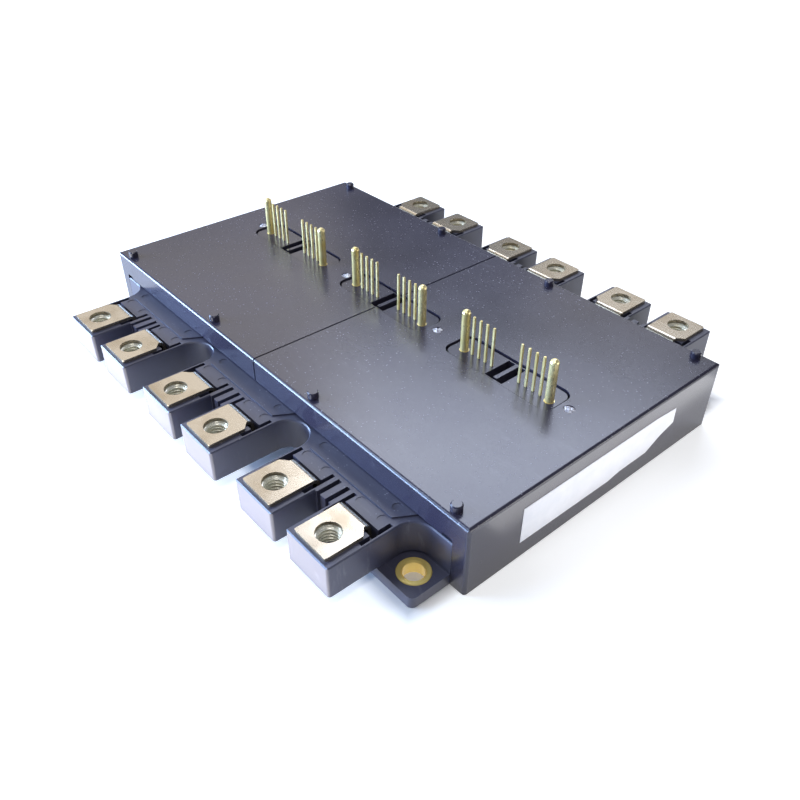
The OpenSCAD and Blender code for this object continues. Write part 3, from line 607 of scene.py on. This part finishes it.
def nut_points(centre, low, high, across_flats):
    """Rows go up the bore and back round the outside, columns go round the axis.

    In the bore, radius = bore + depth * triangle wave of (height / pitch - angle / turn),
    or bore + a 45 degree countersink at both ends where that is wider. Outside, radius
    = half the flats over the cosine of the angle from the nearest flat's middle, and no
    more than EDGE_REACH times half the flats around both end faces.
    """
    angle = np.linspace(0, 2 * np.pi, NUT_SPOKES, endpoint=False)
    up = np.linspace(0, 1, BORE_RINGS)
    height = high - low
    phase = (up[:, None] * height / THREAD_PITCH - angle[None, :] / (2 * np.pi)) % 1.0
    wave = np.clip(1.5 - np.abs(phase - 0.5) * 4, 0, 1)
    sink = np.maximum(0.0, COUNTERSINK - np.minimum(up, 1 - up)[:, None] * height)
    inner = NUT_BORE + np.maximum(THREAD_DEPTH * wave, sink)
    flat = across_flats / 2 / np.cos((angle + np.pi / 6) % (np.pi / 3) - np.pi / 6)
    edge = np.minimum(flat, across_flats / 2 * EDGE_REACH)
    outside = [
        ((inner[-1] + edge) / 2, high),
        (edge - EDGE_WIDTH, high),
        (edge, high - EDGE_FALL),
        (flat, high - CORNER_FALL - EDGE_FALL),
        (flat, low + CORNER_FALL + EDGE_FALL),
        (edge, low + EDGE_FALL),
        (edge - EDGE_WIDTH, low),
        ((inner[0] + edge) / 2, low),
    ]
    radius = np.vstack([inner] + [ring[None, :] for ring, _ in outside])
    z = np.concatenate([low + up * height, [level for _, level in outside]])
    x = centre[0] + radius * np.cos(angle)
    y = centre[1] + radius * np.sin(angle)
    return np.stack((x, y, np.broadcast_to(z[:, None], x.shape)), axis=-1)


for number in range(1, 13):
    low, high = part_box(f"nut_{number}")
    middle = (low + high) / 2
    flats = min(high.x - low.x, high.y - low.y)
    threaded = surface(
        f"nut_{number}_threaded",
        nut_points(middle, low.z, high.z, flats),
        close_rows=True,
        close_columns=True,
    )
    threaded.data.materials.append(metal["Zinc plated steel"])
    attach(threaded, "root")
    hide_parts(f"nut_{number}")
print("nut", [round(v / MM, 2) for v in (flats, low.z, high.z)])

# %% [markdown]
# ## Broken gate stubs
#
# Plastic enters each cover through small gates beside the connectors. When the runner
# is snapped off, it leaves pale, torn plastic in a shallow round recess. The recess
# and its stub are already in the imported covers. The torn skin over them is a low disc
# whose height is a sum of crossed sine waves of position, so it looks torn but comes
# out the same on every run. Its underside is flat and it lies on the recess's floor.

# %% Build the gate stubs
TORN_REACH = 1.45 * MM
TORN_HEIGHT = 0.55 * MM
TORN_LEVEL, TORN_ROUGHNESS, LOWEST_LEVEL = 0.5, 0.3, 0.12
RIM_HEIGHT = 0.02 * MM
TORN_RINGS, TORN_SPOKES = 16, 48
STUD_HEIGHT = 1.9 * MM
RECESS_DEPTH = 0.25 * MM
GATE_Y = 0.7 * MM
GATE_X = {"gate_scar_1": -72, "gate_scar_2": -22, "gate_scar_3": 22, "gate_scar_4": 72}


def torn_spot(centre, seed):
    """Rings by spokes, in along the flat underside and out again over the torn top.

    Radius = ring * reach * (1 + two sine waves of the angle). Height = a dome
    (1 - ring^4) times a level plus waves of x and y: a product of two that are 1.2 mm
    and 1.3 mm long, and two slanting ones 0.5 mm and 0.3 mm long.
    """
    spoke = np.linspace(0, 2 * np.pi, TORN_SPOKES, endpoint=False)[None, :]
    ring = np.linspace(0.02, 1, TORN_RINGS)[:, None]
    lobes = 1 + 0.16 * np.sin(3 * spoke + seed) + 0.10 * np.sin(7 * spoke + 2 * seed)
    reach = TORN_REACH * lobes
    x = ring * reach * np.cos(spoke)
    y = ring * reach * np.sin(spoke)
    rough = np.sin(5200 * x + seed) * np.sin(4700 * y + 2 * seed)
    rough = rough + 0.6 * np.sin(9100 * (x + y) + seed) + 0.3 * np.sin(17000 * (x - 0.6 * y))
    level = np.clip(TORN_LEVEL + TORN_ROUGHNESS * rough, LOWEST_LEVEL, 1.0)
    z = TORN_HEIGHT * (1 - ring**4) * level + RIM_HEIGHT
    top = np.stack((centre[0] + x, centre[1] + y, centre[2] + z), axis=-1)
    under = top[::-1].copy()
    under[..., 2] = centre[2]
    return np.concatenate((under, top))


lid_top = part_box("cover_left")[1].z - STUD_HEIGHT
for order, (name, x) in enumerate(GATE_X.items()):
    scar = surface(
        name,
        torn_spot((x * MM, GATE_Y, lid_top - RECESS_DEPTH), 1.7 * order + 0.4),
        close_rows=True,
        close_columns=True,
    )
    scar.data.materials.append(solid["Torn plastic"])
    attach(scar, "root")
print(len(GATE_X), "torn gates on the lid at", round(lid_top / MM, 2), "mm")
